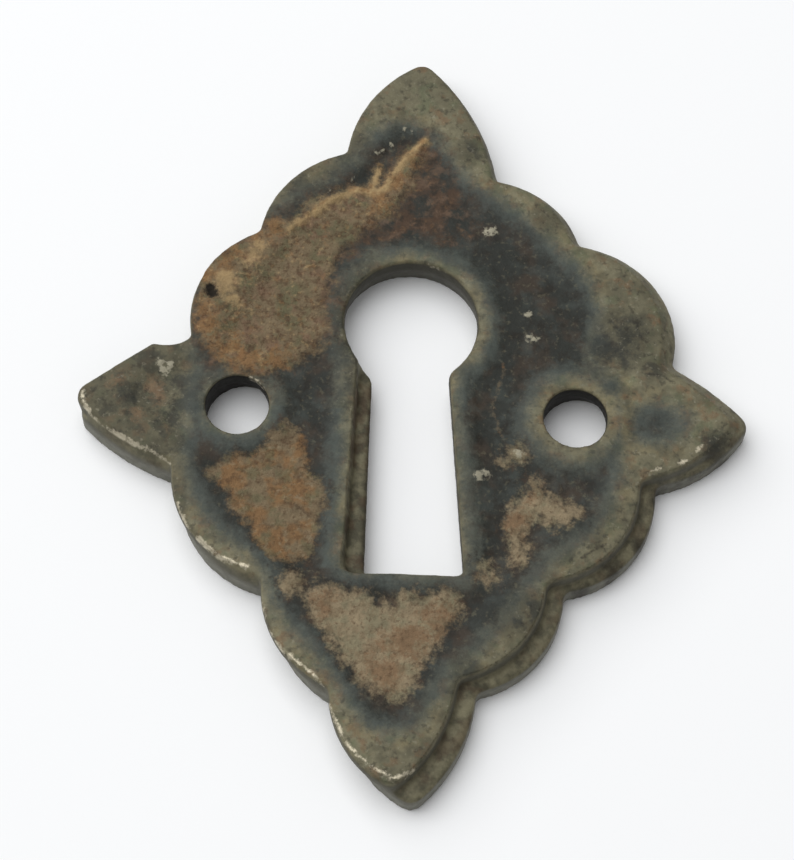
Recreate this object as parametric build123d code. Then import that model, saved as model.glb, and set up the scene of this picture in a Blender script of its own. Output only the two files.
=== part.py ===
from build123d import *
import os
from math import cos, radians, sin, tan

# A small keyhole escutcheon, cast in iron as one piece, in millimetres.
# The origin is midway between the screw holes on the flat seat.
# +Y points towards the top petal and +Z out of the relief face.
# It was cast in two mould halves that did not quite meet, so the lower half shows as a ledge in places.

# Heights
BASE_H = 1.5  # lower half, from the seat up to the parting line
RELIEF_H = 0.9  # upper half, from the parting line up to the rim
FIELD_DEPTH = 0.25  # how far the field lies below the rim
FIELD_LEAN = 74  # lean of the field's gentle walls from upright, in degrees
EDGE_W = 0.2  # worn bevel of the rim and of the upper edge of the keyhole

# Even outline of the upper half: the places where its edges would meet, measured from the origin
TOP_REACH = 23.55  # tip of the top petal
BOTTOM_REACH = 22.2  # tip of the bottom petal
SIDE_REACH = 18.95  # tips of the side petals
ROOT_X = 3.95  # notch where a top or bottom petal springs
ROOT_Y = 16.25
WAIST_X = 8.55  # notch between the two scallops of a side
WAIST_Y = 10.75
SIDE_ROOT_X = 13.35  # notch where a side petal springs
SIDE_ROOT_Y = 3.8
SHOULDER_X = 14.65  # the left petal has a bump on its upper flank
SHOULDER_Y = 3.75
TIP_R = 0.85
NOTCH_R = 0.4

# The plate is uneven. For each corner, clockwise: its strays in x and y, and the bow of the edge after it.
UNEVEN = {
    "top tip": (0.4, 0.0, 0.85),
    "upper right root": (0.75, -0.8, 1.05),
    "upper right waist": (0.9, 0.55, 2.2),
    "upper right side root": (1.15, -0.15, 0.25),
    "right tip": (-0.15, 0.1, 0.7),
    "lower right side root": (-0.05, 0.05, 1.6),
    "lower right waist": (-0.45, 0.65, 1.3),
    "lower right root": (-0.65, 0.35, 0.75),
    "bottom tip": (-0.1, 0.0, 0.95),
    "lower left root": (0.2, -0.4, 1.2),
    "lower left waist": (0.85, 0.45, 1.65),
    "lower left side root": (0.25, 0.15, 0.5),
    "left tip": (-0.2, 0.35, 0.0),
    "left shoulder": (0.0, 0.0, -0.3),
    "upper left side root": (0.85, 0.45, 1.45),
    "upper left waist": (-0.4, 0.6, 1.15),
    "upper left root": (-0.1, 0.7, 1.05),
}

# How the lower mould half sits under the upper one
FLARE = 0.35  # it is fuller by this much at the side petals
SHIFT_X = 0.6
SHIFT_Y = -0.2
TWIST = 1.4  # degrees, anticlockwise
# Stretches where the ledge is worn to a slope, upper right and lower left, in degrees from +X
WORN_SIDES = [(-6, 89), (183, 197), (220, 233)]

# Keyhole, with the slot's sides measured from the origin
KEY_X = 0.1  # middle of the round part
KEY_Y = 5.75
KEY_R = 3.85
SLOT_LEFT = 1.97  # left side
SLOT_RIGHT_TOP = 2.05  # right side, level with the middle of the round part
SLOT_RIGHT_END = 3.45  # right side, at the lower end
SLOT_END_Y = -9.85
SLOT_R = 0.35  # corners of the lower end
LIP_R = 0.7  # corners between the round part and the slot
LEDGE_TOP_W = 0.73  # strip of the lower half beside the slot, level with the middle of the round part
LEDGE_END_W = 1.2  # the same strip at the lower end
FLANK_ANGLE = 203  # the lower half runs straight from here on the round part, in degrees from +X
FLANK_DROP = 3.4  # to here on the slot's left side, below the middle of the round part
DRAFT = 11  # lean of its walls in the lower half, where it widens towards the seat, in degrees

# Screw holes and the raised bands of the relief
HOLE_SPACING = 19.24
HOLE_D = 3.6
RING_W = 0.9  # band round a screw hole
COLLAR_W = 0.9  # band round the keyhole
RIM_W = 1.2  # band along the outline, at its notches
FIELD_R = 1.4  # corners of the field


def corner_places():
    """The corners of the upper half's outline, clockwise from the top tip."""
    notches = [(ROOT_X, ROOT_Y), (WAIST_X, WAIST_Y), (SIDE_ROOT_X, SIDE_ROOT_Y)]
    even = [
        (0, TOP_REACH),
        *[(x, y) for x, y in notches],
        (SIDE_REACH, 0),
        *[(x, -y) for x, y in reversed(notches)],
        (0, -BOTTOM_REACH),
        *[(-x, -y) for x, y in notches],
        (-SIDE_REACH, 0),
        (-SHOULDER_X, SHOULDER_Y),
        *[(-x, y) for x, y in reversed(notches)],
    ]
    return [(x + dx, y + dy) for (x, y), (dx, dy, bow) in zip(even, UNEVEN.values())]


def rounded(face, places, radius):
    """The face with its corners at the given places rounded."""
    return fillet([face.vertices().sort_by_distance(place)[0] for place in places], radius)


def outline(corners):
    """The scalloped outline through the corners, with its tips and notches rounded."""
    bows = [bow for dx, dy, bow in UNEVEN.values()]
    following = corners[1:] + corners[:1]
    edges = [
        SagittaArc(start, end, bow) if bow else Line(start, end)
        for start, end, bow in zip(corners, following, bows)
    ]
    tips = [place for name, place in zip(UNEVEN, corners) if name.endswith("tip")]
    notches = [place for place in corners if place not in tips]
    return rounded(rounded(make_face(edges), tips, TIP_R), notches, NOTCH_R)


def keyhole(ledge_top, ledge_end, ease=0):
    """The keyhole's outline, set back along the slot's left side by the ledge's widths and opened by ease."""
    left_end = (-SLOT_LEFT - ledge_end - ease, SLOT_END_Y - ease)
    right_end = (SLOT_RIGHT_END + ease, SLOT_END_Y - ease)
    slot = Polyline(
        (-SLOT_LEFT - ledge_top - ease, KEY_Y),
        left_end,
        right_end,
        (SLOT_RIGHT_TOP + ease, KEY_Y),
        close=True,
    )
    hole = Pos(KEY_X, KEY_Y) * Circle(KEY_R + ease) + make_face(slot)
    lips = [v for v in hole.vertices() if (SLOT_END_Y + KEY_Y) / 2 < v.Y < KEY_Y - KEY_R / 2]
    return rounded(fillet(lips, LIP_R), [left_end, right_end], SLOT_R + ease)


def left_flank():
    """What the lower half fills of the round part, below a straight run to the slot's left side."""
    start_x = KEY_X + KEY_R * cos(radians(FLANK_ANGLE))
    start_y = KEY_Y + KEY_R * sin(radians(FLANK_ANGLE))
    run = Polyline(
        (start_x, start_y),
        (-SLOT_LEFT, KEY_Y - FLANK_DROP),
        (-SLOT_LEFT, KEY_Y - KEY_R),
        (start_x, KEY_Y - KEY_R),
        close=True,
    )
    return make_face(run)


def at_screws(piece):
    """The piece at each screw hole's place."""
    return [Pos(side * HOLE_SPACING / 2, 0) * piece for side in (-1, 1)]


def lower_outline(corners):
    """The outline of the lower half: fuller than the upper one, and set askew under it."""
    grow = 1 + FLARE / SIDE_REACH
    return Pos(SHIFT_X, SHIFT_Y) * Rot(0, 0, TWIST) * scale(outline(corners), by=grow)


def base_half(corners):
    """The lower half, from the seat up to the parting line."""
    opening = Pos(0, 0, BASE_H) * (keyhole(0, 0) - left_flank())
    return extrude(lower_outline(corners), BASE_H) - extrude(opening, -BASE_H, taper=-DRAFT)


def relief_half(corners):
    """The upper half, with its worn bevels."""
    opening = keyhole(LEDGE_TOP_W, LEDGE_END_W)
    half = Pos(0, 0, BASE_H) * extrude(outline(corners) - opening, RELIEF_H)
    return chamfer(half.faces().sort_by(Axis.Z)[-1].edges(), EDGE_W)


def wedge(first, last):
    """A wedge from the origin out past the plate, between two angles in degrees."""
    reach = 2 * TOP_REACH
    middle = (first + last) / 2
    rays = [(reach * cos(radians(angle)), reach * sin(radians(angle))) for angle in (first, middle, last)]
    return make_face(Polyline((0, 0), *rays, close=True))


def worn_slopes(corners):
    """The slopes that wear has made of the ledge, up to the rim's bevel, upper right and lower left."""
    rise = RELIEF_H - EDGE_W
    low = Pos(0, 0, BASE_H) * lower_outline(corners)
    high = Pos(0, 0, BASE_H + rise) * outline(corners)
    slope = loft([low, high], ruled=True)
    opening = keyhole(LEDGE_TOP_W, LEDGE_END_W)
    return [slope & Pos(0, 0, BASE_H) * extrude(wedge(*side) - opening, rise) for side in WORN_SIDES]


def field_hollow(corners):
    """The hollow of the sunk field, from its floor to the rim, with the raised bands left in it."""
    rim_z = BASE_H + RELIEF_H
    floor_z = rim_z - FIELD_DEPTH
    run = FIELD_DEPTH * tan(radians(FIELD_LEAN))
    ring_r = HOLE_D / 2 + RING_W
    field = offset(make_face(Polyline(*corners, close=True)), -RIM_W)
    field = fillet(field.vertices(), FIELD_R)
    collar = keyhole(LEDGE_TOP_W, LEDGE_END_W, COLLAR_W + run)
    ring = Pos(0, 0, floor_z + FIELD_DEPTH / 2) * Cone(ring_r + run, ring_r, FIELD_DEPTH)
    hollow = extrude(Pos(0, 0, rim_z) * field, -FIELD_DEPTH, taper=FIELD_LEAN)
    hollow -= extrude(Pos(0, 0, floor_z) * collar, FIELD_DEPTH, taper=FIELD_LEAN)
    return hollow - at_screws(ring)


def escutcheon_plate():
    """The plate: its two halves with the worn slopes, the sunk field and the screw holes through both."""
    corners = corner_places()
    height = BASE_H + RELIEF_H
    hole = Pos(0, 0, height / 2) * Cylinder(HOLE_D / 2, height)
    plate = base_half(corners) + relief_half(corners) + worn_slopes(corners)
    return plate - field_hollow(corners) - at_screws(hole)


os.makedirs("parts", exist_ok=True)
export_step(escutcheon_plate(), "parts/escutcheon_plate.step")
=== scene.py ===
"""An old keyhole escutcheon in cast iron, with worn edges, rust and dirt, painted glints and
painted shade, on a plain pale stage.
"""

import math

import bmesh
import bpy
import numpy as np
from bpy.props import FloatProperty, FloatVectorProperty, IntProperty, PointerProperty
from mathutils import Matrix, Vector, noise


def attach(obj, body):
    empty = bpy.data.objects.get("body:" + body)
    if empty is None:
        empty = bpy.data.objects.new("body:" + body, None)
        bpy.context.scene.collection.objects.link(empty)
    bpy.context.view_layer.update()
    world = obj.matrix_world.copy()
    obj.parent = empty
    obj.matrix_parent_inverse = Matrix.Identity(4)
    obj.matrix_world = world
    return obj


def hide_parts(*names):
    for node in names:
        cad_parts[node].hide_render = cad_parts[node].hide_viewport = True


bl_info = {
    "name": "Keyhole Escutcheon",
    "version": (1, 0, 0),
    "blender": (4, 5, 0),
    "location": "View3D > Sidebar > Escutcheon",
    "description": "Worn cast-iron keyhole plate with rust and dirt, and its stage",
    "category": "Object",
}

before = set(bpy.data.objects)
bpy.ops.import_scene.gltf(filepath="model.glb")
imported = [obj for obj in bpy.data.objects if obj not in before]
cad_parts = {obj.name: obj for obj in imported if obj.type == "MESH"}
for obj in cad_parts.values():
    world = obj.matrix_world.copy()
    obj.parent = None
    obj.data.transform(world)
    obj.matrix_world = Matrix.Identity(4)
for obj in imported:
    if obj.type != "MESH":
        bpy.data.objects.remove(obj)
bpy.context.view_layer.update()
NODE = "escutcheon_plate"
SLOT = "old_iron"
MM = 0.001
IMAGE_SIZE = (794, 860)

# Marks on the plate's face, in millimetres from the middle between the screw holes.
# Where the rubbed rim gives way to the dark field
FIELD = [
    (0.6, 18.7), (1.5, 17.5), (2.4, 16.2), (3.6, 14.9), (5.2, 13.8), (6.9, 12.5), (8.2, 11.1),
    (9.3, 10.0), (10.4, 8.6), (10.9, 7.0), (10.9, 5.4), (10.6, 3.9), (11.2, 3.2), (11.9, 2.2),
    (11.9, -2.2), (11.9, -3.6), (11.6, -4.8), (11.2, -5.9), (10.5, -6.9), (9.5, -7.7), (8.4, -8.6),
    (7.5, -9.7), (6.8, -10.8), (6.1, -12.0), (5.0, -13.4), (3.9, -14.6), (2.6, -15.9),
    (1.8, -17.3), (0.8, -18.7), (-0.5, -19.1), (-1.7, -18.5), (-2.5, -17.3), (-3.3, -16.1),
    (-4.4, -14.8), (-5.6, -13.5), (-6.6, -12.1), (-7.1, -10.9), (-7.7, -9.7), (-8.5, -8.9),
    (-9.7, -8.0), (-10.8, -7.0), (-11.7, -5.7), (-12.3, -4.3), (-12.4, -3.0), (-12.1, -1.8),
    (-12.2, 2.2), (-12.3, 3.2), (-12.4, 5.0), (-12.4, 7.4), (-11.9, 9.2), (-10.4, 10.6),
    (-8.7, 11.5), (-8.2, 12.6), (-7.5, 13.6), (-6.5, 14.2), (-5.3, 14.9), (-4.4, 15.7),
    (-3.5, 17.0), (-2.7, 18.0), (-1.5, 18.8), (-0.4, 19.0),
]
# Crust on the upper left, from the top petal round to the left screw hole
CRUST = [
    (0.7, 18.4), (-0.4, 17.3), (-1.3, 16.2), (-2.0, 15.1), (-2.4, 14.7), (-3.3, 14.7),
    (-4.3, 14.3), (-5.5, 13.8), (-6.3, 13.1), (-7.2, 12.1), (-8.3, 12.2), (-8.9, 11.5),
    (-9.5, 10.8), (-10.6, 10.3), (-11.5, 9.5), (-12.2, 8.4), (-12.4, 6.6), (-12.3, 4.7),
    (-11.5, 3.6), (-10.7, 2.5), (-9.6, 2.1), (-8.2, 1.9), (-7.2, 2.5), (-6.2, 3.0), (-5.2, 3.8),
    (-4.7, 4.7), (-5.0, 6.0), (-4.9, 7.8), (-4.5, 9.4), (-3.9, 10.6), (-3.0, 11.6), (-2.0, 12.4),
    (-1.0, 13.2), (-0.4, 14.6), (0.1, 16.0), (0.6, 17.2),
]
# Orange and pale spots in the crust: x, y, radius
ORANGE = [
    (-8.3, 11.9, 0.6), (-9.2, 11.2, 0.7), (-10.9, 9.6, 0.8), (-11.9, 8.2, 0.5), (-12.0, 6.0, 0.6),
    (-11.6, 4.8, 0.7), (-10.6, 3.4, 0.7), (-9.2, 2.6, 0.8), (-7.6, 2.8, 0.5), (-2.0, 14.0, 0.6),
    (-0.2, 16.8, 0.5), (-1.0, 15.2, 0.5),
]
PALE = [
    (-10.8, 8.0, 0.4), (-10.6, 7.4, 0.55), (-10.3, 6.7, 0.4), (-9.4, 9.6, 0.4), (-9.0, 10.2, 0.3),
]
# Brown stain beside the crust
STAIN = [
    (1.2, 17.8), (1.9, 16.0), (2.6, 14.5), (3.1, 13.0), (3.2, 11.9), (2.0, 11.6), (0.3, 11.8),
    (-1.6, 11.4), (-3.0, 10.8), (-4.2, 9.0), (-4.4, 6.8), (-5.6, 6.4), (-5.2, 9.0), (-4.4, 11.0),
    (-2.6, 12.4), (-1.2, 13.6), (-0.6, 15.0), (0.2, 16.6),
]
# Rust patch on the lower left
RUST = [
    (-6.9, -1.2), (-6.2, -1.3), (-5.8, -2.4), (-5.7, -3.4), (-5.1, -4.4), (-4.5, -5.0),
    (-4.4, -5.8), (-4.8, -6.8), (-5.0, -7.8), (-5.2, -9.0), (-6.2, -9.3), (-7.2, -9.1),
    (-7.9, -8.4), (-8.3, -7.4), (-9.3, -6.6), (-9.8, -5.4), (-10.8, -4.2), (-10.2, -3.6),
    (-9.2, -3.3), (-8.3, -3.0), (-7.7, -2.4), (-7.4, -1.8),
]
# Dried dirt: the triangle below the keyhole and the patch on the lower right
FOOT_DIRT = [
    (-5.2, -11.2), (-4.4, -10.6), (-3.4, -11.0), (-2.2, -11.2), (-1.2, -11.8), (-0.4, -11.7),
    (0.1, -11.0), (0.6, -10.9), (0.9, -11.6), (1.6, -11.3), (2.4, -10.9), (3.3, -11.2),
    (3.4, -11.9), (2.6, -12.8), (2.1, -13.7), (1.8, -14.5), (1.2, -15.4), (0.8, -16.3),
    (0.2, -17.1), (-0.4, -17.0), (-1.2, -16.8), (-1.9, -16.3), (-2.4, -15.5), (-3.1, -14.8),
    (-3.7, -13.9), (-4.4, -13.1), (-4.9, -12.3),
]
SIDE_DIRT = [
    (7.3, -3.9), (7.8, -4.4), (8.3, -4.9), (9.1, -5.4), (10.1, -5.9), (9.2, -6.3), (8.2, -6.7),
    (7.6, -6.2), (7.1, -6.3), (6.9, -6.8), (6.6, -7.5), (6.8, -8.1), (6.7, -9.0), (6.2, -9.1),
    (6.1, -8.2), (6.0, -7.4), (5.7, -6.9), (5.9, -6.1), (6.2, -5.4), (6.7, -5.0), (7.1, -4.5),
]
# Pinkish spots in the dirt, then spots of dirt and pale specks: x, y, radius
PINK = [
    (0.3, -14.0, 1.1), (-0.8, -15.6, 0.8), (2.2, -12.4, 0.9), (-4.3, -11.8, 0.6), (6.3, -6.6, 0.6),
    (7.3, -4.6, 0.4),
]
DIRT_SPOTS = [
    (-6.05, -10.75, 0.55), (4.55, -9.4, 0.35), (4.95, -9.7, 0.35), (6.35, -2.35, 0.4),
    (5.8, -2.65, 0.25),
]
SPECKS = [
    (4.35, 12.0, 0.2), (4.7, 12.05, 0.22), (6.75, 6.55, 0.14), (6.95, 6.55, 0.12),
    (6.9, 5.15, 0.16), (7.2, 5.0, 0.2), (4.2, -3.75, 0.24), (4.5, -3.6, 0.22), (6.4, -2.3, 0.22),
    (-14.15, 2.45, 0.17), (-13.95, 2.05, 0.2), (-13.6, 2.25, 0.2), (-13.85, 1.75, 0.13),
    (-0.7, 18.8, 0.07), (-0.2, 18.6, 0.08), (-1.9, 17.2, 0.07), (-2.3, 17.0, 0.06),
    (-1.4, 17.6, 0.05), (-3.6, 15.1, 0.06), (-5.0, 14.2, 0.05),
]
# Raised edge of the crust, and the thin rust line beside the keyhole
RIDGES = [
    [(0.6, 18.1), (-0.2, 17.2), (-0.9, 16.3), (-1.3, 15.5), (-1.7, 14.6), (-2.3, 14.3),
     (-3.2, 14.4), (-4.2, 14.0), (-5.1, 13.4), (-6.2, 12.4), (-7.2, 11.5)],
    [(-2.1, 16.1), (-2.3, 15.3), (-2.5, 14.6)],
]
RUST_LINE = [(5.4, 3.3), (5.5, 2.6), (5.2, 1.9), (5.0, 1.0), (4.95, 0.2), (5.2, -0.6), (5.4, -1.2)]
# Edges rubbed to bare metal, painted pale also as painted glints: half width, below nothing where
# only grains of it show, then the line
BARE = [
    (0.08, [(-18.4, 0.4), (-18.3, -0.3), (-17.9, -0.9), (-17.2, -1.7), (-16.2, -2.2),
            (-15.2, -2.7), (-14.3, -3.1)]),
    (0.03, [(-14.3, -3.1), (-13.7, -3.35), (-13.2, -3.8)]),
    (0.04, [(-12.6, -6.2), (-12.2, -7.1), (-11.8, -7.8)]),
    (0.11, [(-11.4, -8.3), (-10.9, -8.6)]),
    (0.07, [(-10.9, -8.7), (-10.0, -9.35), (-9.0, -9.7), (-8.4, -9.9)]),
    (0.03, [(-7.8, -11.2), (-7.5, -12.3), (-7.3, -13.2)]),
    (0.07, [(-7.1, -13.6), (-6.5, -14.5), (-5.7, -15.1)]),
    (0.04, [(-5.7, -15.1), (-4.7, -15.8), (-4.0, -16.6)]),
    (0.04, [(-3.6, -17.6), (-3.2, -18.6), (-2.9, -19.2)]),
    (0.05, [(-2.9, -19.2), (-2.4, -20.0), (-1.6, -20.7), (-0.8, -21.2)]),
    (0.07, [(-0.8, -21.2), (-0.1, -21.55), (0.6, -21.35), (1.0, -21.1)]),
    (0.03, [(13.9, -3.1), (14.4, -2.95)]),
    (0.06, [(15.5, -2.55), (15.9, -2.35)]),
    (0.03, [(16.4, -1.8), (16.8, -1.4)]),
    (-0.03, [(-11.4, 1.5), (-10.9, 1.9), (-10.3, 2.1)]),
    (0.01, [(-9.0, 1.75), (-8.5, 1.45), (-8.1, 1.0)]),
    (-0.06, [(0.7, 9.6), (1.5, 9.4), (2.3, 8.9)]),
]
# Deep pit in the crust: x, y, radius
PITS = [(-11.55, 7.35, 0.3), (-11.5, 7.05, 0.34)]
# Dull places on the right-hand rims: x, y, radius
DULL = [
    (12.2, 5.1, 1.7), (11.0, 3.6, 1.1), (6.4, -12.0, 1.6), (3.6, -15.2, 0.8), (3.0, 17.2, 0.8),
    (8.0, 12.8, 0.8), (-3.6, 17.6, 0.9), (14.0, 3.2, 0.6),
]
# Dark smudges beside the holes, and painted shade on the right-hand walls: x, y, radius
SMUDGES_AND_SHADE = [
    (-12.4, 0.3, 0.9), (-12.9, 1.3, 0.7), (-13.3, -1.0, 0.6), (-15.6, 0.4, 0.5),
    (-11.5, -2.6, 0.7), (11.3, 4.5, 0.8), (12.6, 5.4, 0.7), (12.4, 4.2, 0.4), (-3.9, 3.4, 0.6),
    (-4.4, 5.4, 0.5), (17.6, -1.4, 0.7), (14.6, -4.3, 0.6), (15.8, -3.9, 0.6), (17.0, -3.3, 0.6),
    (18.2, -2.4, 0.5), (13.7, -5.4, 0.4), (13.1, -7.2, 0.4), (11.8, -8.9, 0.4), (10.2, -10.1, 0.4),
]
# Thin films of dirt on the left petal: x, y, radius
FILMS = [(-14.4, 0.8, 0.45), (-14.0, 0.3, 0.35), (-16.6, 1.1, 0.35), (-15.2, -0.9, 0.3)]
# Cracks in the rims on the right
CRACKS = [
    [(10.6, 5.8), (11.2, 5.6), (11.7, 5.1), (12.1, 4.6)],
    [(12.7, 7.3), (13.2, 6.6), (13.2, 5.8), (13.5, 5.2)],
    [(13.9, 3.0), (14.6, 2.9), (15.3, 2.4)],
    [(9.9, -8.6), (10.6, -8.1), (11.3, -7.7)],
]
# Strip of the lower half beside the slot
STRIP = [(-1.8, 3.2), (-2.9, 3.8), (-3.2, -9.9), (-1.8, -9.9)]
# Dark spot on the right petal: x, y, radius, and how far it is drawn out along x
PETAL_SPOT = (14.3, -0.1, 1.1, 0.8)
# Half widths of the lines among these marks
CRACK_HALF = 0.03
RIDGE_HALF = 0.22
STREAK_HALF = 0.02
# Screw holes and keyhole of the solid
HOLES = [(-9.62, 0.0), (9.62, 0.0)]
HOLE_R = 1.8
KEY_ROUND = (0.1, 5.75, 3.85)
KEY_SLOT = [(-2.9, 5.75), (-3.1, -9.85), (3.45, -9.85), (2.05, 5.75)]
# Heights above the seat: the parting line, and the levels between which the relief face begins
PARTING = 1.5
FACE_LOW = 1.75
FACE_HIGH = 1.95
# The casting skin keeps off this band above the seat, and what lies lower still is made flat
SEAT_BAND = 0.1
SEAT_FLAT = 0.04
# Roughness: bumps to the millimetre, octaves, seed
SKIN = (2.2, 4, 3.1)
LUMPS = (0.9, 3, 11.7)
GRIT = (3.2, 3, 23.0)
# The table's half width, and how far it lies below the seat
TABLE_HALF = 1.0
TABLE_DROP = 0.01 * MM


def shade(red, green, blue):
    """A linear colour from its 0 to 255 screen values."""
    return tuple((((v / 255) + 0.055) / 1.055) ** 2.4 for v in (red, green, blue))


def colour(name, description, default):
    """A colour that can be set in the sidebar."""
    return FloatVectorProperty(
        name=name, description=description, default=default, subtype="COLOR", min=0, max=1)


def length(name, description, millimetres, **limits):
    """A small length that can be set in the sidebar, given in millimetres."""
    return FloatProperty(
        name=name, description=description, default=millimetres * MM, unit="LENGTH", precision=6,
        **limits)


def turn(name, description, degrees):
    """An angle that can be set in the sidebar, given in degrees."""
    return FloatProperty(
        name=name, description=description, default=math.radians(degrees), unit="ROTATION")


def count(name, description, default):
    """A whole number that can be set in the sidebar."""
    return IntProperty(name=name, description=description, default=default, min=0)


class PlateSettings(bpy.types.PropertyGroup):
    grain: length("Face size", "Edge length of the plate's small even faces", 0.125, min=0.1 * MM)
    wear: count("Wear", "Rounds of smoothing that wear the edges", 2)
    roll: count("Worn slopes", "Rounds of smoothing where the ledge is worn to a slope", 18)
    ledge: count("Soft ledge", "Rounds of smoothing on the ledge", 26)
    relief: count("Soft relief", "Rounds of smoothing on the relief", 60)
    casting: length("Casting skin", "Height of the rough casting skin", 0.014)
    crust: length("Crust", "Thickness of the rust crust", 0.09)
    ridge: length("Crust edge", "Extra height of the crust's raised edge", 0.07)
    draft: turn("Draft", "Lean of the screw holes' walls below the parting line", 15)
    lean: turn("Hole lean", "Lean of the screw holes to the right below the parting line", 15)
    dirt: length("Dirt", "Thickness of the dried dirt", 0.06)
    pit: length("Pit", "Depth of the deep pit", 0.25)


class FinishSettings(bpy.types.PropertyGroup):
    rim: colour("Rubbed rim", "Olive-brown iron on the raised bands", shade(121, 116, 93))
    rim_dark: colour("Dull rim", "Darker mottles of the raised bands", shade(78, 75, 60))
    rim_red: colour("Rim, ruddy", "Ruddy mottles of the raised bands", shade(112, 88, 64))
    # Painted highlight: ochre laid on the crest of the raised bands, where the crest catches the
    # light
    rim_ochre_highlight: colour("Rim, ochre", "Ochre on the crest of the raised bands", shade(122, 110, 79))
    rim_green: colour("Rim, greenish", "Greenish mottles of the raised bands", shade(92, 97, 74))
    blued: colour("Blue-grey", "Bluish film at the foot of the raised bands", shade(69, 75, 71))
    field: colour("Field", "Brown-black iron of the sunk field", shade(44, 46, 42))
    stain: colour("Stain", "Red-brown stain round the rust", shade(76, 57, 42))
    crust: colour("Crust", "Grey-tan crust", shade(114, 100, 78))
    crust_green: colour("Crust, greenish", "Olive mottles of the crust", shade(96, 93, 70))
    crust_pink: colour("Crust, pinkish", "Pinkish brown mottles of the crust", shade(112, 90, 72))
    rust: colour("Rust", "Orange rust", shade(128, 96, 63))
    # The crust edge's pale colour: partly its own, partly painted highlight where the raised edge
    # catches the light
    ridge: colour("Crust edge", "Pale edge of the crust", shade(158, 135, 98))
    dirt: colour("Dried dirt", "Pale tan dirt", shade(135, 121, 97))
    dirt_pink: colour("Dirt, pinkish", "Pinkish mottles of the dirt", shade(120, 96, 72))
    speck: colour("Specks", "Pale specks", shade(154, 149, 130))
    wall: colour("Side wall", "Grey iron of the side walls", shade(119, 118, 108))
    # Painted shade: the dark colour of the walls inside the holes and the keyhole stands in for the
    # shade there
    hole: colour("Hole wall", "Dark iron inside the holes", shade(38, 36, 32))
    # Bare metal, painted pale also as painted glints on the rubbed edges
    bare_and_glint: colour("Bare metal", "Metal rubbed bright", shade(200, 191, 168))
    # Dark dirt, and painted shade in creases, along edges, beside the strip and on the right-hand
    # walls
    dark_dirt_and_shade: colour("Crease", "Dirt in the inner corners", shade(38, 34, 28))


class StageSettings(bpy.types.PropertyGroup):
    floor: colour("Floor", "Colour of the table", (0.93, 0.94, 0.95))
    floor_glow: FloatProperty(
        name="Floor lift", description="Light that the camera sees added to the floor",
        default=0.02, min=0)
    sky: FloatProperty(
        name="Room light", description="Strength of the even light all round", default=0.3, min=0)
    key: FloatProperty(
        name="Window light", description="Power of the large soft light", default=11.5, min=0,
        unit="POWER")
    key_size: FloatProperty(
        name="Window size", description="Width of the large soft light", default=1.3, unit="LENGTH")
    key_place: FloatVectorProperty(
        name="Window place", description="Where the large soft light stands",
        default=(-0.42, 0.28, 0.75), unit="LENGTH")
    azimuth: turn("View azimuth", "Camera's turn round the plate", -1.8)
    elevation: turn("View elevation", "Camera's height above the table", 65)
    roll: turn("View roll", "Camera's lean", 4)
    distance: FloatProperty(
        name="View distance", description="From the camera to the plate", default=0.14,
        unit="LENGTH")
    aim: FloatVectorProperty(
        name="Aim", description="Point that the camera looks at",
        default=(-0.47 * MM, -0.12 * MM, 0), unit="LENGTH")
    focal: FloatProperty(
        name="Focal length", description="Focal length in pixels of the picture", default=2430,
        subtype="PIXEL")


def to_line(places, line):
    """How far each place is from a line through points."""
    best = np.full(len(places), np.inf)
    for start, end in zip(np.array(line[:-1]), np.array(line[1:])):
        run = end - start
        along = np.clip((places - start) @ run / (run @ run), 0, 1)
        best = np.minimum(best, np.linalg.norm(places - start - along[:, None] * run, axis=1))
    return best


def inside(places, outline):
    """How deep each place lies inside a closed outline, negative outside it."""
    ring = outline + outline[:1]
    within = np.zeros(len(places), bool)
    x, y = places.T
    for (x0, y0), (x1, y1) in zip(ring[:-1], ring[1:]):
        if y0 != y1:
            within ^= ((y0 > y) != (y1 > y)) & (x < x0 + (y - y0) * (x1 - x0) / (y1 - y0))
    away = to_line(places, ring)
    return np.where(within, away, -away)


def away_from(places, x, y):
    """How far each place is from a point."""
    return np.hypot(places[:, 0] - x, places[:, 1] - y)


def in_spots(places, spots):
    """How deep each place lies inside the nearest of the round spots."""
    return np.max([radius - away_from(places, x, y) for x, y, radius in spots], axis=0)


def to_lines(places, lines):
    """How far each place is from the nearest of several lines."""
    return np.min([to_line(places, line) for line in lines], axis=0)


def step(values, low, high):
    """A smooth rise from 0 at low to 1 at high."""
    t = np.clip((values - low) / (high - low), 0, 1)
    return t * t * (3 - 2 * t)


def rough(places, scale, octaves, seed):
    """Rolling noise, about -1 to 1, with the given number of bumps to the millimetre."""
    shift = Vector((seed, seed * 0.7, seed * 1.3))
    return np.array([noise.fractal(Vector(p) * scale + shift, 1.0, 2.0, octaves) for p in places])


def read(items, name, width):
    """A property of the mesh's items as an array, so many numbers to an item."""
    values = np.empty(len(items) * width, np.float32)
    items.foreach_get(name, values)
    return values.reshape(-1, width).astype(float)


def keep(mesh, name, values):
    """Stores one number for each point of the mesh, for the finish to read."""
    mesh.attributes.new(name, "FLOAT", "POINT").data.foreach_set("value", values.astype(np.float32))


def settle(plate):
    """Makes the plate's modifiers part of its mesh."""
    before = plate.data
    shown = plate.evaluated_get(bpy.context.evaluated_depsgraph_get())
    plate.data = bpy.data.meshes.new_from_object(shown)
    plate.modifiers.clear()
    plate.data.name = before.name
    bpy.data.meshes.remove(before)


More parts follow.
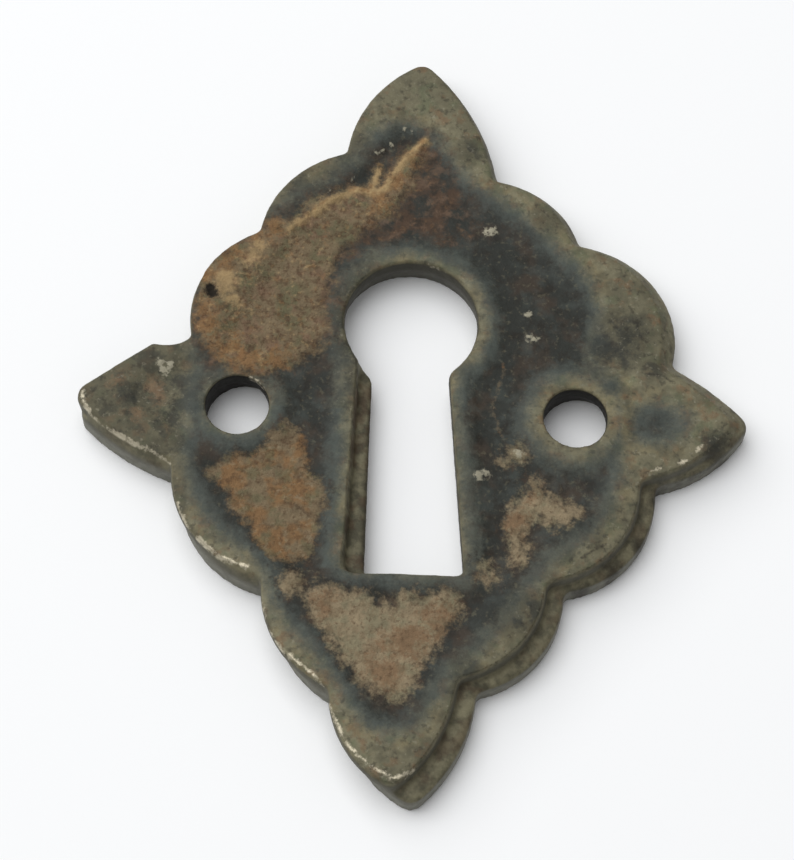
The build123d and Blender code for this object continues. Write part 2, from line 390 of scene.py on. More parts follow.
def even_plate(grain):
    """A copy of the CAD plate in millimetres, with its surface divided into small even faces."""
    bm = bmesh.new()
    bm.from_mesh(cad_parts[NODE].data)
    bmesh.ops.remove_doubles(bm, verts=bm.verts, dist=1e-7)
    bmesh.ops.scale(bm, vec=Vector((1, 1, 1)) / MM, verts=bm.verts)
    mesh = bpy.data.meshes.new("worn_plate")
    bm.to_mesh(mesh)
    bm.free()
    plate = bpy.data.objects.new("worn_plate", mesh)
    bpy.context.scene.collection.objects.link(plate)
    even = plate.modifiers.new("Even faces", "REMESH")
    even.mode = "VOXEL"
    even.voxel_size = grain / MM
    even.use_smooth_shade = True
    settle(plate)
    return plate


def soften(plate, name, weights, rounds, upright_only=False):
    """Smooths part of the plate, each point by its weight."""
    part = plate.vertex_groups.new(name=name)
    levels = np.round(weights, 1)
    for level in np.unique(levels[levels > 0]):
        part.add(np.flatnonzero(levels == level).tolist(), float(level), "REPLACE")
    smooth = plate.modifiers.new(name, "SMOOTH")
    smooth.vertex_group = name
    smooth.factor = 0.5
    smooth.iterations = rounds
    smooth.use_x = smooth.use_y = not upright_only
    settle(plate)
    plate.vertex_groups.clear()


def wear(plate, settings):
    """Rounds the edges a little, the slopes and the ledge more, and makes the relief soft."""
    soften(plate, "all over", np.ones(len(plate.data.vertices)), settings.wear)
    points, normals = read(plate.data.vertices, "co", 3), read(plate.data.vertices, "normal", 3)
    places, height = points[:, :2], points[:, 2]
    angle = np.degrees(np.arctan2(places[:, 1], places[:, 0]))
    lower_left = step(angle, -93, -97) + step(angle, 172, 176)
    upper_right = step(angle, -12, -4) * step(angle, 93, 86)
    slope = np.maximum(upper_right, lower_left) * step(height, 1.1, 1.4)
    slope *= step(normals[:, 2], 0.97, 0.9)
    strip = step(inside(places, STRIP), -0.5, -0.2)
    lower_right = step(angle, -95, -91) * step(angle, -2, -10)
    lower_right *= step(away_from(places, 0, 0), 10, 11)
    ledge = np.maximum(strip, lower_right) * step(height, 0.9, 1.2) * step(height, 2.39, 2.3)
    soften(plate, "worn slopes", slope, settings.roll)
    soften(plate, "ledge", ledge, settings.ledge)
    points, normals = read(plate.data.vertices, "co", 3), read(plate.data.vertices, "normal", 3)
    relief = step(normals[:, 2], 0.86, 0.94) * step(points[:, 2], 1.9, 2.05)
    soften(plate, "relief", relief, settings.relief, True)


def widen_holes(plate, draft, lean):
    """Leans the screw holes' walls outwards and to the right below the parting line."""
    points = read(plate.data.vertices, "co", 3)
    for place in HOLES:
        away = points[:, :2] - place
        reach = np.linalg.norm(away, axis=1)
        push = step(reach, HOLE_R + 0.3, HOLE_R + 0.15) * np.clip(PARTING - points[:, 2], 0, None)
        points[:, :2] += away / reach[:, None] * push[:, None] * math.tan(draft)
        points[:, 0] += push * math.tan(lean)
    plate.data.vertices.foreach_set("co", points.astype(np.float32).ravel())
    plate.data.update()


def bend(mesh, points, normals):
    """How sharply the surface bends at each point, positive on edges and negative in creases."""
    ends = np.empty(len(mesh.edges) * 2, np.int32)
    mesh.edges.foreach_get("vertices", ends)
    first, second = ends.reshape(-1, 2).T
    total = np.column_stack([
        np.bincount(first, points[second, axis], len(points))
        + np.bincount(second, points[first, axis], len(points))
        for axis in range(3)])
    pull = total / np.bincount(ends, minlength=len(points))[:, None] - points
    return -np.einsum("ij,ij->i", pull, normals)


def dull_at(places):
    """How dull the rim is at each place, from 0 to 1."""
    angle = np.degrees(np.arctan2(places[:, 1], places[:, 0]))
    left = 0.52 * step(-places[:, 0], 11.0, 13.0)
    upper_left = 0.55 * step(angle, 95, 105)
    lower_right = 0.25 * step(angle, -95, -85) * step(angle, 2, -8)
    spots = 0.8 * step(in_spots(places, DULL), -0.8, 0.6)
    return np.maximum.reduce([left, upper_left, lower_right, spots])


def marks_at(places):
    """The signed depth, in millimetres, of each place of the face inside each kind of mark."""
    x, y = places.T
    key = np.minimum(
        away_from(places, *KEY_ROUND[:2]) - KEY_ROUND[2], -inside(places, KEY_SLOT))
    hole = np.min([away_from(places, *middle) for middle in HOLES], axis=0) - HOLE_R
    ring = np.where(x > 0, 1.05, 0.35)
    collar = 0.45 + 0.35 * step(y, 0.0, 4.0) - 0.25 * step(y, -9.4, -10.0)
    collar = np.where((x < 0) & (y > -9.8), 0.75, collar)
    field = np.minimum.reduce([inside(places, FIELD), key - collar, hole - ring])
    spot_x, spot_y, spot_r, spot_draw = PETAL_SPOT
    petal_spot = spot_r - np.hypot((x - spot_x) * spot_draw, y - spot_y)
    dull = dull_at(places)
    dirt = [inside(places, FOOT_DIRT), inside(places, SIDE_DIRT), in_spots(places, DIRT_SPOTS)]
    return {
        "field_depth": np.maximum(field, petal_spot),
        "hole_away": hole,
        "key_away": key,
        "dull": np.where(hole < 2.5, 0.6 * dull, dull),
        "strip_depth": inside(places, STRIP),
        "crust_depth": inside(places, CRUST),
        "orange_depth": in_spots(places, ORANGE),
        "pale_depth": in_spots(places, PALE),
        "pink_depth": in_spots(places, PINK),
        "smudge_and_shade_depth": in_spots(places, SMUDGES_AND_SHADE),
        "thin_depth": in_spots(places, FILMS),
        "crack_depth": CRACK_HALF - to_lines(places, CRACKS),
        "stain_depth": inside(places, STAIN),
        "rust_depth": inside(places, RUST),
        "dirt_depth": np.maximum.reduce(dirt),
        "speck_depth": in_spots(places, SPECKS),
        "ridge_depth": RIDGE_HALF - to_lines(places, RIDGES),
        "line_depth": STREAK_HALF - to_line(places, RUST_LINE),
        "bare_depth": np.max([half - to_line(places, line) for half, line in BARE], axis=0),
        "pit_depth": in_spots(places, PITS),
    }


def thin_seat(mesh):
    """Fills the flat seat with a few large faces in place of its small ones."""
    bm = bmesh.new()
    bm.from_mesh(mesh)
    seat = [f for f in bm.faces if all(v.co.z == 0 for v in f.verts)]
    bmesh.ops.delete(bm, geom=seat, context="FACES")
    border = [e for e in bm.edges if e.is_boundary]
    filled = bmesh.ops.triangle_fill(bm, edges=border, use_beauty=True, normal=(0, 0, -1))
    for part in filled["geom"]:
        part.smooth = False
    bm.to_mesh(mesh)
    bm.free()


class ESCUTCHEON_OT_plate(bpy.types.Operator):
    """Make the worn plate over its CAD solid, with its rust, dirt and finish"""

    bl_idname = "escutcheon.plate"
    bl_label = "Worn Plate"

    def execute(self, context):
        settings = context.scene.escutcheon_plate
        plate = even_plate(settings.grain)
        wear(plate, settings)
        widen_holes(plate, settings.draft, settings.lean)
        mesh = plate.data
        points = read(mesh.vertices, "co", 3)
        normals = read(mesh.vertices, "normal", 3)
        marks = marks_at(points[:, :2])
        face = step(normals[:, 2], 0.35, 0.75) * step(points[:, 2], FACE_LOW, FACE_HIGH)
        skin, lumps, grit = (rough(points, *kind) for kind in (SKIN, LUMPS, GRIT))
        crust = step(marks["crust_depth"], -0.1, 0.35)
        dirt = np.maximum(
            step(marks["dirt_depth"], -0.1, 0.3), step(marks["rust_depth"], -0.1, 0.35))
        specks = step(marks["speck_depth"], -0.1, 0.15)
        ridge = step(marks["ridge_depth"], -0.2, RIDGE_HALF)
        pit = step(marks["pit_depth"], -0.15, 0.3)
        bent = bend(mesh, points, normals)
        lift = settings.casting * skin * np.where(points[:, 2] < SEAT_BAND, 0, 1)
        lift += face * settings.crust * crust * (1 + 0.6 * lumps + 0.35 * grit)
        lift += face * settings.ridge * ridge * (1 + 0.7 * lumps)
        lift += face * settings.dirt * dirt * (1 + 0.5 * lumps + 0.35 * grit)
        lift += face * settings.dirt * specks
        lift -= face * settings.pit * pit
        points += normals * lift[:, None] / MM
        points[points[:, 2] < SEAT_FLAT, 2] = 0
        mesh.vertices.foreach_set("co", points.astype(np.float32).ravel())
        mesh.update()
        for name, values in marks.items():
            keep(mesh, name, values)
        keep(mesh, "face_up", face)
        keep(mesh, "upright", normals[:, 2])
        keep(mesh, "height", points[:, 2])
        keep(mesh, "edge_bend", bent)
        thin_seat(mesh)
        mesh.transform(Matrix.Scale(MM, 4))
        mesh.update()
        mesh.materials.clear()
        mesh.materials.append(old_iron(context.scene.escutcheon_finish))
        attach(plate, "root")
        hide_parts(NODE)
        return {"FINISHED"}


def add(tree, kind, inputs=None, **settings):
    """A node with its settings, where each input is a value or another node's socket."""
    node = tree.nodes.new(kind)
    for name, value in settings.items():
        setattr(node, name, value)
    for key, value in (inputs or {}).items():
        if isinstance(value, bpy.types.NodeSocket):
            tree.links.new(value, node.inputs[key])
        elif node.inputs[key].type == "RGBA":
            node.inputs[key].default_value = (*value[:3], 1)
        else:
            node.inputs[key].default_value = value
    return node


def blend(tree, factor, under, over, mode="MIX"):
    """Lays one colour over another by a factor."""
    mix = add(tree, "ShaderNodeMix", data_type="RGBA", blend_type=mode)
    for slot, value in ((0, factor), (6, under), (7, over)):
        if isinstance(value, bpy.types.NodeSocket):
            tree.links.new(value, mix.inputs[slot])
        else:
            mix.inputs[slot].default_value = value if slot == 0 else (*value[:3], 1)
    return mix.outputs[2]


def maths(tree, operation, first, second=0.0, clamp=False):
    """The result of one sum."""
    node = add(tree, "ShaderNodeMath", {0: first, 1: second}, operation=operation, use_clamp=clamp)
    return node.outputs[0]


def ramp(tree, value, low, high, to_low=0.0, to_high=1.0):
    """A smooth rise between two values."""
    spread = {
        "Value": value, "From Min": low, "From Max": high, "To Min": to_low, "To Max": to_high}
    node = add(tree, "ShaderNodeMapRange", spread, interpolation_type="SMOOTHSTEP")
    return node.outputs["Result"]


def group(name, inputs, output):
    """An empty shader node group with number inputs and their defaults, and one number output."""
    tree = bpy.data.node_groups.new(name, "ShaderNodeTree")
    for label, value in inputs.items():
        socket = tree.interface.new_socket(label, in_out="INPUT", socket_type="NodeSocketFloat")
        socket.default_value = value
    tree.interface.new_socket(output, in_out="OUTPUT", socket_type="NodeSocketFloat")
    return tree, tree.nodes.new("NodeGroupInput"), tree.nodes.new("NodeGroupOutput")


def mottle_group():
    """Noise in bumps to the millimetre, spread from 0 to 1."""
    tree, start, end = group("Mottle", {"Scale": 1.0, "Seed": 0.0}, "Value")
    grain = add(tree, "ShaderNodeTexNoise", {
        "Vector": millimetres(tree, start.outputs["Seed"]), "Scale": start.outputs["Scale"],
        "Detail": 3.0, "Roughness": 0.6})
    centred = maths(tree, "SUBTRACT", grain.outputs["Fac"], 0.5)
    spread = maths(tree, "MULTIPLY", centred, 2.0)
    tree.links.new(maths(tree, "ADD", spread, 0.5, clamp=True), end.inputs["Value"])
    return tree


def ragged_group():
    """The mask of a mark whose signed depth is frayed by noise, in shape and in grain."""
    tree, start, end = group(
        "Ragged Edge", {"Depth": 0.0, "Fray": 0.4, "Scale": 1.5, "Soft": 0.2, "Seed": 0.0}, "Mask")
    place = millimetres(tree, start.outputs["Seed"])
    shape = add(tree, "ShaderNodeTexNoise", {
        "Vector": place, "Scale": start.outputs["Scale"], "Detail": 4.0, "Roughness": 0.6})
    grain = add(tree, "ShaderNodeTexNoise", {
        "Vector": place, "Scale": 5.5, "Detail": 3.0, "Roughness": 0.7})
    half_grain = maths(tree, "MULTIPLY", grain.outputs["Fac"], 0.5)
    both = maths(tree, "ADD", shape.outputs["Fac"], half_grain)
    centred = maths(tree, "MULTIPLY", maths(tree, "SUBTRACT", both, 0.75), 4.0)
    frayed = maths(tree, "MULTIPLY", centred, start.outputs["Fray"])
    depth = maths(tree, "ADD", start.outputs["Depth"], frayed)
    low = maths(tree, "MULTIPLY", start.outputs["Soft"], -1.0)
    tree.links.new(ramp(tree, depth, low, start.outputs["Soft"]), end.inputs["Mask"])
    return tree


def millimetres(tree, shift):
    """Places on the plate in millimetres, moved by a shift that makes each noise its own."""
    place = add(tree, "ShaderNodeTexCoord").outputs["Object"]
    place = add(tree, "ShaderNodeVectorMath", {0: place, "Scale": 1 / MM}, operation="SCALE")
    place = add(tree, "ShaderNodeVectorMath", {0: place.outputs[0], 1: shift}, operation="ADD")
    return place.outputs[0]


class Coats:
    """The colours of one material, laid over each other in its node tree."""

    def __init__(self, tree):
        self.tree = tree
        self.mottles = mottle_group()
        self.edges = ragged_group()

    def mark(self, name):
        """A number that the plate's mesh holds for each of its points."""
        return add(self.tree, "ShaderNodeAttribute", attribute_name=name).outputs["Fac"]

    def deeper(self, depth, amount):
        """The depth with more added to it."""
        return maths(self.tree, "ADD", depth, amount)

    def share(self, mask, amount):
        """A share of the mask."""
        return maths(self.tree, "MULTIPLY", mask, amount)

    def most(self, first, *others):
        """The highest of several masks or depths."""
        for other in others:
            first = maths(self.tree, "MAXIMUM", first, other)
        return first

    def rise(self, value, low, high, to_low=0.0, to_high=1.0):
        """A mask that rises smoothly as the value goes from low to high."""
        return ramp(self.tree, value, low, high, to_low, to_high)

    def speckle(self, scale, seed):
        """Noise from 0 to 1, with so many blotches to the millimetre."""
        values = {"Scale": scale, "Seed": seed}
        return add(self.tree, "ShaderNodeGroup", values, node_tree=self.mottles).outputs["Value"]

    def mottle(self, scale, seed, low, high, amount=1.0):
        """Blotches where the noise rises from low to high."""
        return self.rise(self.speckle(scale, seed), low, high, 0.0, amount)

    def swing(self, scale, seed, amount):
        """A factor that swings about 1 by the amount."""
        spread = {"Value": self.speckle(scale, seed), "To Min": 1 - amount, "To Max": 1 + amount}
        return add(self.tree, "ShaderNodeMapRange", spread).outputs["Result"]

    def ragged(self, depth, fray, scale, soft, seed, amount=1.0):
        """The mask of a mark with a frayed edge."""
        values = {"Depth": depth, "Fray": fray, "Scale": scale, "Soft": soft, "Seed": seed}
        mask = add(self.tree, "ShaderNodeGroup", values, node_tree=self.edges).outputs["Mask"]
        return mask if amount == 1.0 else self.share(mask, amount)

    def lay(self, under, mask, over):
        """One colour laid over another by a mask."""
        return blend(self.tree, mask, under, over)

    def covered(self, colours, *covers):
        """Other colours laid over the colours in turn, each given after its mask."""
        for mask, over in covers:
            colours = self.lay(colours, mask, over)
        return colours

    def mottled(self, colours, *blotches):
        """Blotches laid over the colours in turn: a colour, then scale, seed, low, high, amount."""
        return self.covered(colours, *((self.mottle(*kind), over) for over, *kind in blotches))


def rubbed_rim(coats, finish):
    """Olive-brown iron of the raised bands: lighter and ochre on the crest as painted highlight,
    darker towards the outer edge, and dull on the left.
    """
    depth, dull = coats.mark("field_depth"), coats.mark("dull")
    # Painted highlight: lighter towards the crest and ochre on it; darker towards the outer edge
    crest = coats.share(coats.rise(depth, -1.5, -0.7), coats.rise(depth, 0.2, -0.3))
    rim = coats.covered(
        finish.rim_dark,
        (coats.rise(depth, -2.6, -0.5, 0.55, 1.0), finish.rim),
        (coats.share(crest, coats.mottle(0.9, 47.0, 0.35, 0.7, 0.5)), finish.rim_ochre_highlight))
    rim = coats.mottled(
        rim,
        (finish.rim_dark, 0.55, 5.0, 0.45, 0.7, 0.6),
        (finish.rim_red, 1.1, 7.0, 0.5, 0.85, 0.6),
        (finish.rim_green, 0.9, 9.0, 0.5, 0.85, 0.6))
    films = coats.ragged(
        coats.mark("thin_depth"), fray=0.4, scale=1.8, soft=0.3, seed=48.0, amount=0.6)
    cracks = coats.ragged(
        coats.mark("crack_depth"), fray=0.1, scale=2.0, soft=0.1, seed=49.0, amount=0.8)
    smudges = coats.ragged(
        coats.mark("smudge_and_shade_depth"), fray=0.7, scale=0.9, soft=0.6, seed=40.0, amount=0.8)
    rim = coats.covered(
        rim,
        (dull, finish.rim_dark),
        (coats.share(coats.mottle(0.8, 46.0, 0.45, 0.7, 0.9), dull), finish.field),
        (films, finish.dirt_pink),
        (cracks, finish.dark_dirt_and_shade),
        (smudges, finish.field))
    return coats.mottled(
        rim,
        (finish.dark_dirt_and_shade, 2.4, 11.0, 0.55, 0.9, 0.5),
        (finish.speck, 3.4, 12.0, 0.65, 0.95, 0.3))


def dark_field(coats, finish):
    """Brown-black iron of the sunk field, with flecks."""
    return coats.mottled(
        finish.field,
        (finish.stain, 0.45, 13.0, 0.45, 0.75, 0.35),
        (finish.blued, 0.7, 14.0, 0.45, 0.8, 0.4),
        (finish.dark_dirt_and_shade, 1.3, 15.0, 0.45, 0.85, 0.7),
        (finish.rim, 3.2, 16.0, 0.6, 0.95, 0.25))


def brown_stain(coats, finish):
    """Red-brown stain with dark and rusty flecks."""
    return coats.mottled(
        finish.field,
        (finish.stain, 0.9, 17.0, 0.25, 0.7, 0.9),
        (finish.crust_pink, 1.4, 18.0, 0.45, 0.85, 0.5),
        (finish.dark_dirt_and_shade, 1.3, 20.0, 0.5, 0.8, 0.7),
        (finish.rust, 2.4, 19.0, 0.6, 0.95, 0.3))


def rust_crust(coats, finish):
    """Grey-tan crust with olive, pinkish and orange mottles and pale spots."""
    orange = coats.ragged(
        coats.mark("orange_depth"), fray=1.0, scale=1.1, soft=0.6, seed=23.0, amount=0.75)
    pale = coats.ragged(
        coats.mark("pale_depth"), fray=0.5, scale=1.6, soft=0.4, seed=26.0, amount=0.8)
    crust = coats.mottled(
        finish.crust,
        (finish.crust_green, 0.6, 21.0, 0.4, 0.8, 0.9),
        (finish.crust_pink, 0.9, 22.0, 0.5, 0.8, 0.8),
        (finish.stain, 1.8, 24.0, 0.5, 0.85, 0.6),
        (finish.rust, 1.9, 39.0, 0.6, 0.9, 0.4))
    crust = coats.mottled(
        coats.lay(crust, orange, finish.rust),
        (finish.stain, 3.8, 50.0, 0.5, 0.85, 0.6),
        (finish.ridge, 2.8, 25.0, 0.6, 0.95, 0.5))
    return coats.lay(crust, pale, finish.ridge)


def rust_patch(coats, finish):
    """Tan and orange-brown rust with olive mottles."""
    return coats.mottled(
        finish.crust,
        (finish.rust, 0.7, 27.0, 0.35, 0.7, 0.75),
        (finish.crust_green, 1.1, 28.0, 0.5, 0.8, 0.6),
        (finish.stain, 1.5, 29.0, 0.5, 0.85, 0.4),
        (finish.stain, 3.6, 51.0, 0.5, 0.85, 0.5),
        (finish.dirt, 2.6, 30.0, 0.6, 0.95, 0.6))


def dried_dirt(coats, finish):
    """Pale tan dirt with pinkish and grey-tan mottles."""
    pink = coats.ragged(
        coats.mark("pink_depth"), fray=1.0, scale=1.0, soft=0.6, seed=31.0, amount=0.85)
    dirt = coats.mottled(finish.dirt, (finish.rim, 0.9, 32.0, 0.4, 0.75, 0.7))
    return coats.mottled(
        coats.lay(dirt, pink, finish.dirt_pink),
        (finish.crust, 1.5, 33.0, 0.5, 0.85, 0.6),
        (finish.stain, 3.2, 34.0, 0.55, 0.9, 0.55))


def small_marks(coats, finish, colours):
    """The thin streak of rust, the pale specks and the deep pit, over the other colours."""
    line = coats.ragged(
        coats.mark("line_depth"), fray=0.16, scale=2.4, soft=0.12, seed=20.0, amount=0.55)
    specks = coats.ragged(
        coats.mark("speck_depth"), fray=0.22, scale=2.6, soft=0.1, seed=22.0, amount=0.9)
    pit = coats.ragged(coats.mark("pit_depth"), fray=0.2, scale=2.0, soft=0.12, seed=24.0)
    streak = coats.mottled(finish.crust, (finish.rust, 0.6, 54.0, 0.5, 0.7))
    return coats.covered(
        colours, (line, streak), (specks, finish.speck), (pit, finish.dark_dirt_and_shade))


def plain_sides(coats, finish):
    """Grey side walls with painted shade inside the holes and the keyhole and on the right-hand
    walls, and the olive ledge with its strip by the slot.
    """
    key_away = coats.mark("key_away")
    smudge_and_shade = coats.ragged(
        coats.mark("smudge_and_shade_depth"), fray=0.5, scale=0.9, soft=0.6, seed=52.0, amount=0.7)
    walls = coats.covered(
        coats.mottled(finish.wall, (finish.rim_dark, 2.0, 35.0, 0.35, 0.85, 0.32)),
        (coats.rise(coats.mark("height"), 0.9, 1.8, 0.0, 0.75), finish.rim_dark),
        # Painted shade on the right-hand walls, with dark smudges
        (smudge_and_shade, finish.dark_dirt_and_shade),
        # Painted shade on the walls inside the keyhole and the screw holes
        (coats.rise(key_away, 0.5, 0.25, 0.0, 0.5), finish.hole),
        (coats.rise(coats.mark("hole_away"), 0.5, 0.25), finish.hole))
    ledge = coats.mottled(
        finish.rim_dark,
        (finish.rim, 1.1, 42.0, 0.1, 0.75, 0.95),
        (finish.stain, 0.7, 53.0, 0.5, 0.8, 0.4))
    # Painted shade on the right-hand ledge, with dark smudges
    ledge = coats.lay(ledge, smudge_and_shade, finish.dark_dirt_and_shade)
    strip = coats.mottled(
        finish.rim_dark,
        (finish.rim, 1.2, 37.0, 0.3, 0.8, 0.8),
        (finish.stain, 0.7, 38.0, 0.4, 0.7, 0.55))
    # Painted shade where the strip turns down into the keyhole
    strip = coats.lay(strip, coats.rise(key_away, -0.65, -0.95, 0.0, 0.45), finish.dark_dirt_and_shade)
    return coats.covered(
        walls,
        (coats.rise(coats.mark("upright"), 0.2, 0.6), ledge),
        (coats.rise(coats.mark("strip_depth"), -0.3, -0.1), strip))


def old_iron(finish):
    """Old cast iron: rubbed rims with painted highlight on the crest, a dark field, rust, dirt,
    bare edges with painted glints, plain sides, and painted shade in the holes, creases and along
    the edges.
    """
    material = bpy.data.materials.new(SLOT)
    material.use_nodes = True
    tree = material.node_tree
    coats = Coats(tree)
    field_depth, crust_depth, rust_depth, dirt_depth, ridge_depth = (
        coats.mark(f"{kind}_depth") for kind in ("field", "crust", "rust", "dirt", "ridge"))

    film = coats.ragged(coats.deeper(field_depth, 0.3), fray=0.35, scale=0.9, soft=0.7, seed=2.0)
    film = coats.share(film, coats.rise(coats.mark("dull"), 0.0, 0.6, 0.95, 0.5))
    field = coats.ragged(coats.deeper(field_depth, -0.55), fray=0.45, scale=1.0, soft=0.6, seed=4.0)
    fringe = coats.deeper(coats.most(rust_depth, dirt_depth), 0.25)
    fringe = coats.ragged(fringe, fray=0.8, scale=1.5, soft=0.45, seed=8.0, amount=0.7)
    dark = coats.mottled(finish.dark_dirt_and_shade, (finish.stain, 1.2, 44.0, 0.4, 0.8, 0.7))
    behind = coats.deeper(coats.share(ridge_depth, -1.0), -0.8)
    around = maths(tree, "MINIMUM", coats.deeper(crust_depth, 0.1), behind)
    around = coats.deeper(coats.most(coats.mark("stain_depth"), around), 0.2)
    stain = coats.ragged(around, fray=0.9, scale=1.2, soft=0.8, seed=6.0, amount=0.9)
    # The pale crust edge: partly its own colour, partly painted highlight where it catches the
    # light
    ridge = coats.ragged(ridge_depth, fray=0.22, scale=1.3, soft=0.25, seed=14.0)
    pale = coats.mottled(finish.ridge, (finish.rust, 1.4, 45.0, 0.45, 0.8, 0.6))
    crust = coats.ragged(crust_depth, fray=0.5, scale=1.2, soft=0.5, seed=12.0)
    crust = coats.most(crust, ridge)
    rust = coats.ragged(coats.deeper(rust_depth, 0.15), fray=0.45, scale=1.3, soft=0.35, seed=16.0)
    dirt = coats.ragged(coats.deeper(dirt_depth, 0.04), fray=0.55, scale=1.7, soft=0.5, seed=18.0)
    colours = coats.covered(
        rubbed_rim(coats, finish),
        (film, finish.blued),
        (field, dark_field(coats, finish)),
        (fringe, dark),
        (stain, brown_stain(coats, finish)),
        (crust, coats.lay(rust_crust(coats, finish), ridge, pale)),
        (rust, rust_patch(coats, finish)),
        (dirt, dried_dirt(coats, finish)))
    colours = small_marks(coats, finish, colours)
    colours = coats.lay(plain_sides(coats, finish), coats.mark("face_up"), colours)

    bent, height = coats.mark("edge_bend"), coats.mark("height")
    # Painted shade, with dirt, darkening the creases of the face
    crease_dirt_and_shade = coats.share(coats.rise(bent, -0.001, -0.01, 0.0, 0.4), coats.rise(height, 2.05, 1.85))
    crease_dirt_and_shade = coats.share(crease_dirt_and_shade, coats.rise(coats.mark("strip_depth"), -0.5, -0.2, 1.0, 0.2))
    # Painted shade, with dirt: a dark line along the convex edges
    edges = coats.share(coats.rise(bent, 0.006, 0.025, 0.0, 0.4), coats.rise(height, 1.2, 1.4))
    colours = coats.covered(colours, (crease_dirt_and_shade, finish.dark_dirt_and_shade), (edges, finish.dark_dirt_and_shade))
    uneven = coats.share(coats.swing(0.9, 41.0, 0.16), coats.swing(2.3, 43.0, 0.12))
    uneven = coats.share(uneven, coats.swing(8.0, 1.0, 0.08))
    colours = blend(tree, 1.0, colours, uneven, "MULTIPLY")
    # Bare metal on the rubbed edges, painted pale also as painted glints
    bare_and_glint = coats.ragged(
        coats.mark("bare_depth"), fray=0.14, scale=2.6, soft=0.09, seed=36.0, amount=0.8)
    bare_and_glint = coats.share(bare_and_glint, coats.rise(height, 2.0, 2.15))
    colours = coats.lay(colours, bare_and_glint, finish.bare_and_glint)

    crusty = coats.most(crust, rust, dirt)
    roughness = coats.rise(maths(tree, "SUBTRACT", crusty, bare_and_glint), -1.0, 1.0, 0.35, 0.9)
    fine, small = coats.mottle(8.0, 1.0, 0.1, 0.9), coats.mottle(3.5, 3.0, 0.2, 0.8)
    small = coats.share(small, coats.deeper(coats.share(crusty, 2.4), 0.5))
    relief = coats.deeper(coats.share(fine, 0.35), small)
    bump = add(tree, "ShaderNodeBump", {"Height": relief, "Strength": 0.4, "Distance": 0.03 * MM})
    surface = tree.nodes["Principled BSDF"]
    surface.inputs["Specular IOR Level"].default_value = 0.2
    for socket, value in {
            "Base Color": colours, "Metallic": coats.share(bare_and_glint, 0.6), "Roughness": roughness,
            "Normal": bump.outputs["Normal"]}.items():
        tree.links.new(value, surface.inputs[socket])
    return material


class ESCUTCHEON_OT_stage(bpy.types.Operator):
    """Set the pale table, the soft light and the camera"""

    bl_idname = "escutcheon.stage"
    bl_label = "Stage"

    def execute(self, context):
        scene = context.scene
        settings = scene.escutcheon_stage
        scene.view_settings.view_transform = "Standard"
        bm = bmesh.new()
        bmesh.ops.create_grid(bm, x_segments=1, y_segments=1, size=TABLE_HALF)
        bmesh.ops.translate(bm, vec=(0, 0, -TABLE_DROP), verts=bm.verts)
        mesh = bpy.data.meshes.new("table")
        bm.to_mesh(mesh)
        bm.free()
        table = bpy.data.objects.new("table", mesh)
        scene.collection.objects.link(table)
        mesh.materials.append(pale_table(settings))
        room_light(scene, settings.sky)
        place = Vector(settings.key_place)
        soft_light(scene, "window", settings.key, settings.key_size, place)
        set_camera(scene, settings)
        return {"FINISHED"}


def pale_table(settings):
    """A plain pale table that keeps the plate's shadow."""
    material = bpy.data.materials.new("pale_table")
    material.use_nodes = True
    tree = material.node_tree
    tree.nodes.clear()
    rays = add(tree, "ShaderNodeLightPath")
    seen = rays.outputs["Is Camera Ray"]
    for kind in ("Is Glossy Ray", "Is Transmission Ray"):
        seen = maths(tree, "ADD", seen, rays.outputs[kind], clamp=True)
    matt = add(tree, "ShaderNodeBsdfDiffuse", {"Color": settings.floor})
    strength = maths(tree, "MULTIPLY", seen, settings.floor_glow)
    glow = add(tree, "ShaderNodeEmission", {"Strength": strength})
    both = add(tree, "ShaderNodeAddShader", {0: matt.outputs[0], 1: glow.outputs[0]})
    add(tree, "ShaderNodeOutputMaterial", {"Surface": both.outputs[0]})
    return material


def room_light(scene, strength):
    """Even white light from all round."""
    world = bpy.data.worlds.new("room")
    world.use_nodes = True
    background = world.node_tree.nodes["Background"]
    background.inputs["Color"].default_value = (1, 1, 1, 1)
    background.inputs["Strength"].default_value = strength
    scene.world = world


def soft_light(scene, name, power, size, place):
    """A square light that faces the plate."""
    lamp = bpy.data.lights.new(name, "AREA")
    lamp.energy = power
    lamp.size = size
    light = bpy.data.objects.new(name, lamp)
    light.location = place
    light.rotation_euler = place.to_track_quat("Z", "Y").to_euler()
    scene.collection.objects.link(light)


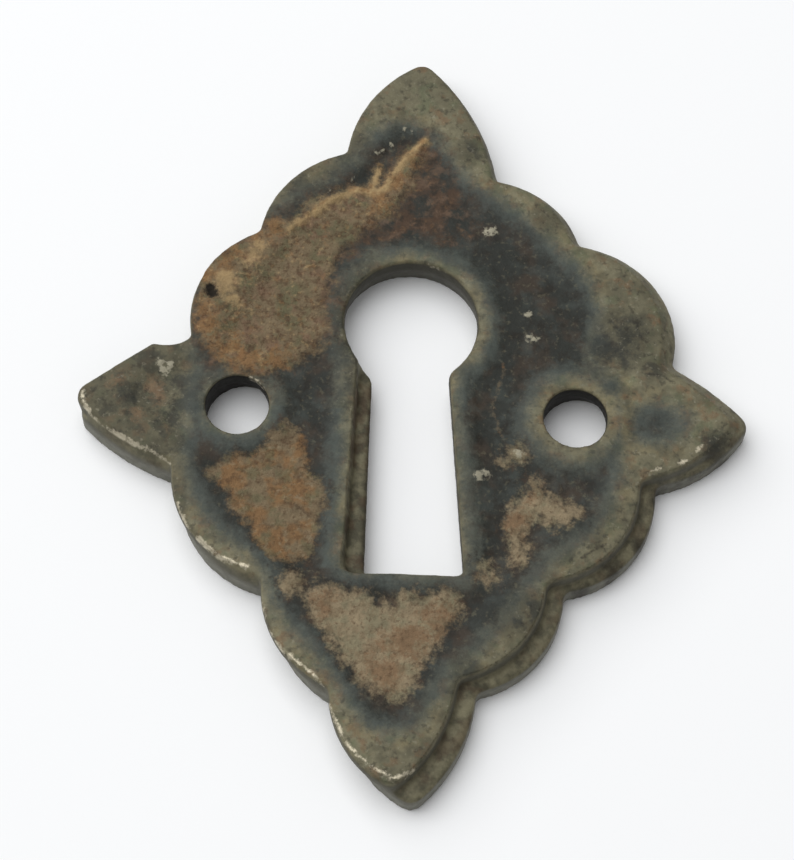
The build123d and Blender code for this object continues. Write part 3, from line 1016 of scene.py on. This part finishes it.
def set_camera(scene, settings):
    """The camera at the picture's viewing angle."""
    azimuth, elevation, roll = settings.azimuth, settings.elevation, settings.roll
    level = Vector((math.cos(azimuth), math.sin(azimuth), 0))
    out = Vector((math.sin(azimuth), -math.cos(azimuth), 0))
    back = out * math.cos(elevation) + Vector((0, 0, math.sin(elevation)))
    up = back.cross(level)
    right = level * math.cos(roll) + up * math.sin(roll)
    up = back.cross(right)
    lens = bpy.data.cameras.new("camera")
    lens.sensor_fit = "AUTO"
    lens.lens = settings.focal * lens.sensor_width / max(IMAGE_SIZE)
    lens.clip_start = 0.001
    camera = bpy.data.objects.new("camera", lens)
    camera.matrix_world = Matrix((right, up, back)).transposed().to_4x4()
    camera.location = Vector(settings.aim) + back * settings.distance
    scene.collection.objects.link(camera)
    scene.camera = camera


class ESCUTCHEON_PT_sidebar(bpy.types.Panel):
    """Sizes and colours of the escutcheon and its stage"""

    bl_label = "Escutcheon"
    bl_idname = "ESCUTCHEON_PT_sidebar"
    bl_space_type = "VIEW_3D"
    bl_region_type = "UI"
    bl_category = "Escutcheon"

    def draw(self, context):
        scene = context.scene
        for settings, operator in (
                (scene.escutcheon_plate, ESCUTCHEON_OT_plate),
                (scene.escutcheon_finish, None),
                (scene.escutcheon_stage, ESCUTCHEON_OT_stage)):
            box = self.layout.box()
            for name in settings.__annotations__:
                box.prop(settings, name)
            if operator:
                box.operator(operator.bl_idname)


CLASSES = (
    PlateSettings, FinishSettings, StageSettings,
    ESCUTCHEON_OT_plate, ESCUTCHEON_OT_stage, ESCUTCHEON_PT_sidebar)


def register():
    for kind in CLASSES:
        bpy.utils.register_class(kind)
    bpy.types.Scene.escutcheon_plate = PointerProperty(type=PlateSettings)
    bpy.types.Scene.escutcheon_finish = PointerProperty(type=FinishSettings)
    bpy.types.Scene.escutcheon_stage = PointerProperty(type=StageSettings)


def unregister():
    del bpy.types.Scene.escutcheon_stage
    del bpy.types.Scene.escutcheon_finish
    del bpy.types.Scene.escutcheon_plate
    for kind in reversed(CLASSES):
        bpy.utils.unregister_class(kind)


def main():
    register()
    bpy.ops.escutcheon.stage()
    bpy.ops.escutcheon.plate()


if __name__ == "__main__":
    main()
